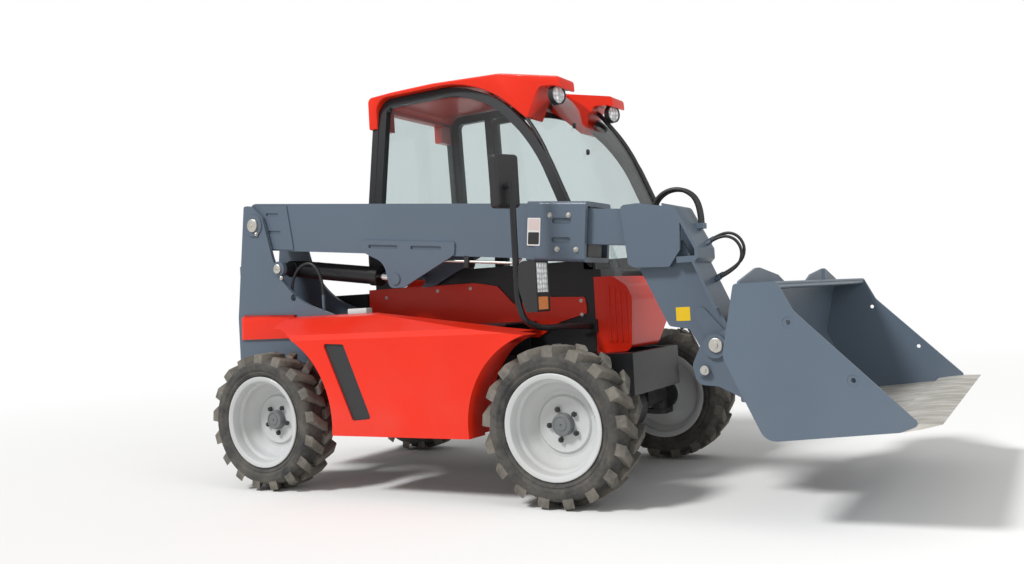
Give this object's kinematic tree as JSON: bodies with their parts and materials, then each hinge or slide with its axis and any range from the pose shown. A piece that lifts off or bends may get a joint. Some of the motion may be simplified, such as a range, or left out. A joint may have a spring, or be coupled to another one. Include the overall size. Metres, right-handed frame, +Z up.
{
  "type": "telescopic handler",
  "caption": "Compact telescopic handler with side boom, closed cab, steered front wheels and earth bucket; the boom lifts and extends, the bucket tilts, the door opens.",
  "frame": {"origin": "middle of the length and width, on the ground under the tyres", "axes": "+X forward to the bucket, +Y to the left, +Z up"},
  "size_m": [3.543, 1.752, 2.0593],
  "materials": {
    "amber_lens": "orange lens",
    "body_paint": "gloss orange red",
    "boom_paint": "satin slate grey",
    "casting": "painted casting",
    "chrome_rod": "polished",
    "dark_paint": "satin black",
    "hose": "black hose",
    "lamp": "clear lens in black housing",
    "mirror_face": "black housing",
    "pad": "nylon",
    "plastic": "grained black",
    "plated": "zinc plated",
    "red_lens": "red lens",
    "rim_paint": "satin silver grey",
    "seat_cover": "black woven cover",
    "tinted_glass": "tinted",
    "tyre": "dusty rubber",
    "worn_steel": "bare and scratched"
  },
  "bodies": {
    "chassis": {"chassis_frame": "dark_paint", "rear_axle": "casting", "front_axle": "casting", "boom_tower": "boom_paint", "tower_pins": "plated", "rear_cover": "body_paint", "engine_pod": "body_paint", "pod_grille": "dark_paint", "engine_block": "casting", "cab_frame": "dark_paint", "cab_roof": "body_paint", "roof_lamps": "lamp", "windscreen": "tinted_glass", "side_windows": "tinted_glass", "rear_hood": "body_paint", "inner_cover": "body_paint", "front_cover": "body_paint", "mirror_arm": "dark_paint", "mirror": "mirror_face", "lamp_housings": "plastic", "lamp_lenses": "lamp", "indicators": "amber_lens", "rear_lamps": "red_lens", "tower_hose": "hose", "seat": "seat_cover", "seat_base": "plastic", "dash": "plastic", "steering_cylinder": "dark_paint"},
    "knuckle_left": {"knuckle_left": "casting"},
    "knuckle_right": {"knuckle_right": "casting"},
    "steering_rod": {"steering_rod": "chrome_rod"},
    "steering_wheel": {"steering_wheel": "plastic"},
    "door": {"door": "dark_paint", "door_glass": "tinted_glass"},
    "boom": {"boom_outer": "boom_paint", "boom_collar": "boom_paint", "boom_pads": "pad", "boom_pipes": "dark_paint"},
    "telescope": {"boom_inner": "boom_paint", "boom_head": "boom_paint", "tilt_barrel": "dark_paint", "head_hose_left": "hose", "head_hose_right": "hose", "tool_hose_left": "hose", "tool_hose_right": "hose"},
    "tilt_rod": {"tilt_rod": "chrome_rod"},
    "lift_barrel": {"lift_barrel": "dark_paint"},
    "lift_rod": {"lift_rod": "chrome_rod"},
    "attachment": {"carriage": "boom_paint", "bucket": "boom_paint", "cutting_edge": "worn_steel"},
    "wheel_front_right": {"tyre_front_right": "tyre", "rim_front_right": "rim_paint"},
    "wheel_front_left": {"tyre_front_left": "tyre", "rim_front_left": "rim_paint"},
    "wheel_rear_right": {"tyre_rear_right": "tyre", "rim_rear_right": "rim_paint"},
    "wheel_rear_left": {"tyre_rear_left": "tyre", "rim_rear_left": "rim_paint"}
  },
  "joints": [
    {"name": "boom_lift", "type": "hinge", "parent": "chassis", "child": "boom", "pos_m": [-1.61849, -0.32, 1.363], "axis": [0, -1, 0], "range_deg": [-6, 60]},
    {"name": "boom_extend", "type": "slide", "parent": "boom", "child": "telescope", "axis": [0.9954, 0, -0.0958], "range_m": [0, 1.3]},
    {"name": "bucket_tilt", "type": "hinge", "parent": "telescope", "child": "attachment", "pos_m": [0.88249, -0.32, 0.65133], "axis": [0, 1, 0], "range_deg": [-20, 82]},
    {"name": "steer_left", "type": "hinge", "parent": "chassis", "child": "knuckle_left", "pos_m": [0.25851, 0.5, 0.345], "axis": [0, 0, 1], "range_deg": [-35, 35]},
    {"name": "steer_right", "type": "hinge", "parent": "chassis", "child": "knuckle_right", "pos_m": [0.25851, -0.5, 0.345], "axis": [0, 0, 1], "range_deg": [-35, 35]},
    {"name": "steering_rod_slide", "type": "slide", "parent": "chassis", "child": "steering_rod", "axis": [0, 1, 0], "range_m": [-0.06893, 0.06893]},
    {"name": "steering_wheel_turn", "type": "hinge", "parent": "chassis", "child": "steering_wheel", "pos_m": [-0.12149, 0.29, 1.23], "axis": [-0.5145, 0, 0.8575], "range_deg": [-421, 421]},
    {"name": "door_swing", "type": "hinge", "parent": "chassis", "child": "door", "pos_m": [-0.76149, 0.753, 1], "axis": [0, 0, 1], "range_deg": [0, 110]},
    {"name": "lift_barrel_turn", "type": "hinge", "parent": "chassis", "child": "lift_barrel", "pos_m": [-1.45449, -0.32, 1.119], "axis": [0, -1, 0], "range_deg": [-6.46, 63.7]},
    {"name": "lift_rod_slide", "type": "slide", "parent": "lift_barrel", "child": "lift_rod", "axis": [0.9917, 0, -0.1288], "range_m": [-0.02951, 0.29057]},
    {"name": "tilt_rod_slide", "type": "slide", "parent": "telescope", "child": "tilt_rod", "axis": [0.4135, 0, -0.9105], "range_m": [-0.15163, 0.03736]},
    {"name": "spin_front_right", "type": "hinge", "parent": "knuckle_right", "child": "wheel_front_right", "pos_m": [0.25851, -0.6375, 0.345], "axis": [0, 1, 0], "continuous": true},
    {"name": "spin_front_left", "type": "hinge", "parent": "knuckle_left", "child": "wheel_front_left", "pos_m": [0.25851, 0.6375, 0.345], "axis": [0, 1, 0], "continuous": true},
    {"name": "spin_rear_right", "type": "hinge", "parent": "chassis", "child": "wheel_rear_right", "pos_m": [-1.37649, -0.6375, 0.345], "axis": [0, 1, 0], "continuous": true},
    {"name": "spin_rear_left", "type": "hinge", "parent": "chassis", "child": "wheel_rear_left", "pos_m": [-1.37649, 0.6375, 0.345], "axis": [0, 1, 0], "continuous": true}
  ],
  "couplings": [
    {"joint": "steer_right", "follows": "steer_left", "ratio": 1},
    {"joint": "steering_rod_slide", "follows": "steer_left", "m_per_rad": -0.11267},
    {"joint": "steering_wheel_turn", "follows": "steer_left", "ratio": 12},
    {"joint": "lift_barrel_turn", "follows": "boom_lift", "ratio": 1.06},
    {"joint": "lift_rod_slide", "follows": "boom_lift", "m_per_rad": 0.277},
    {"joint": "tilt_rod_slide", "follows": "bucket_tilt", "m_per_rad": -0.1056}
  ]
}
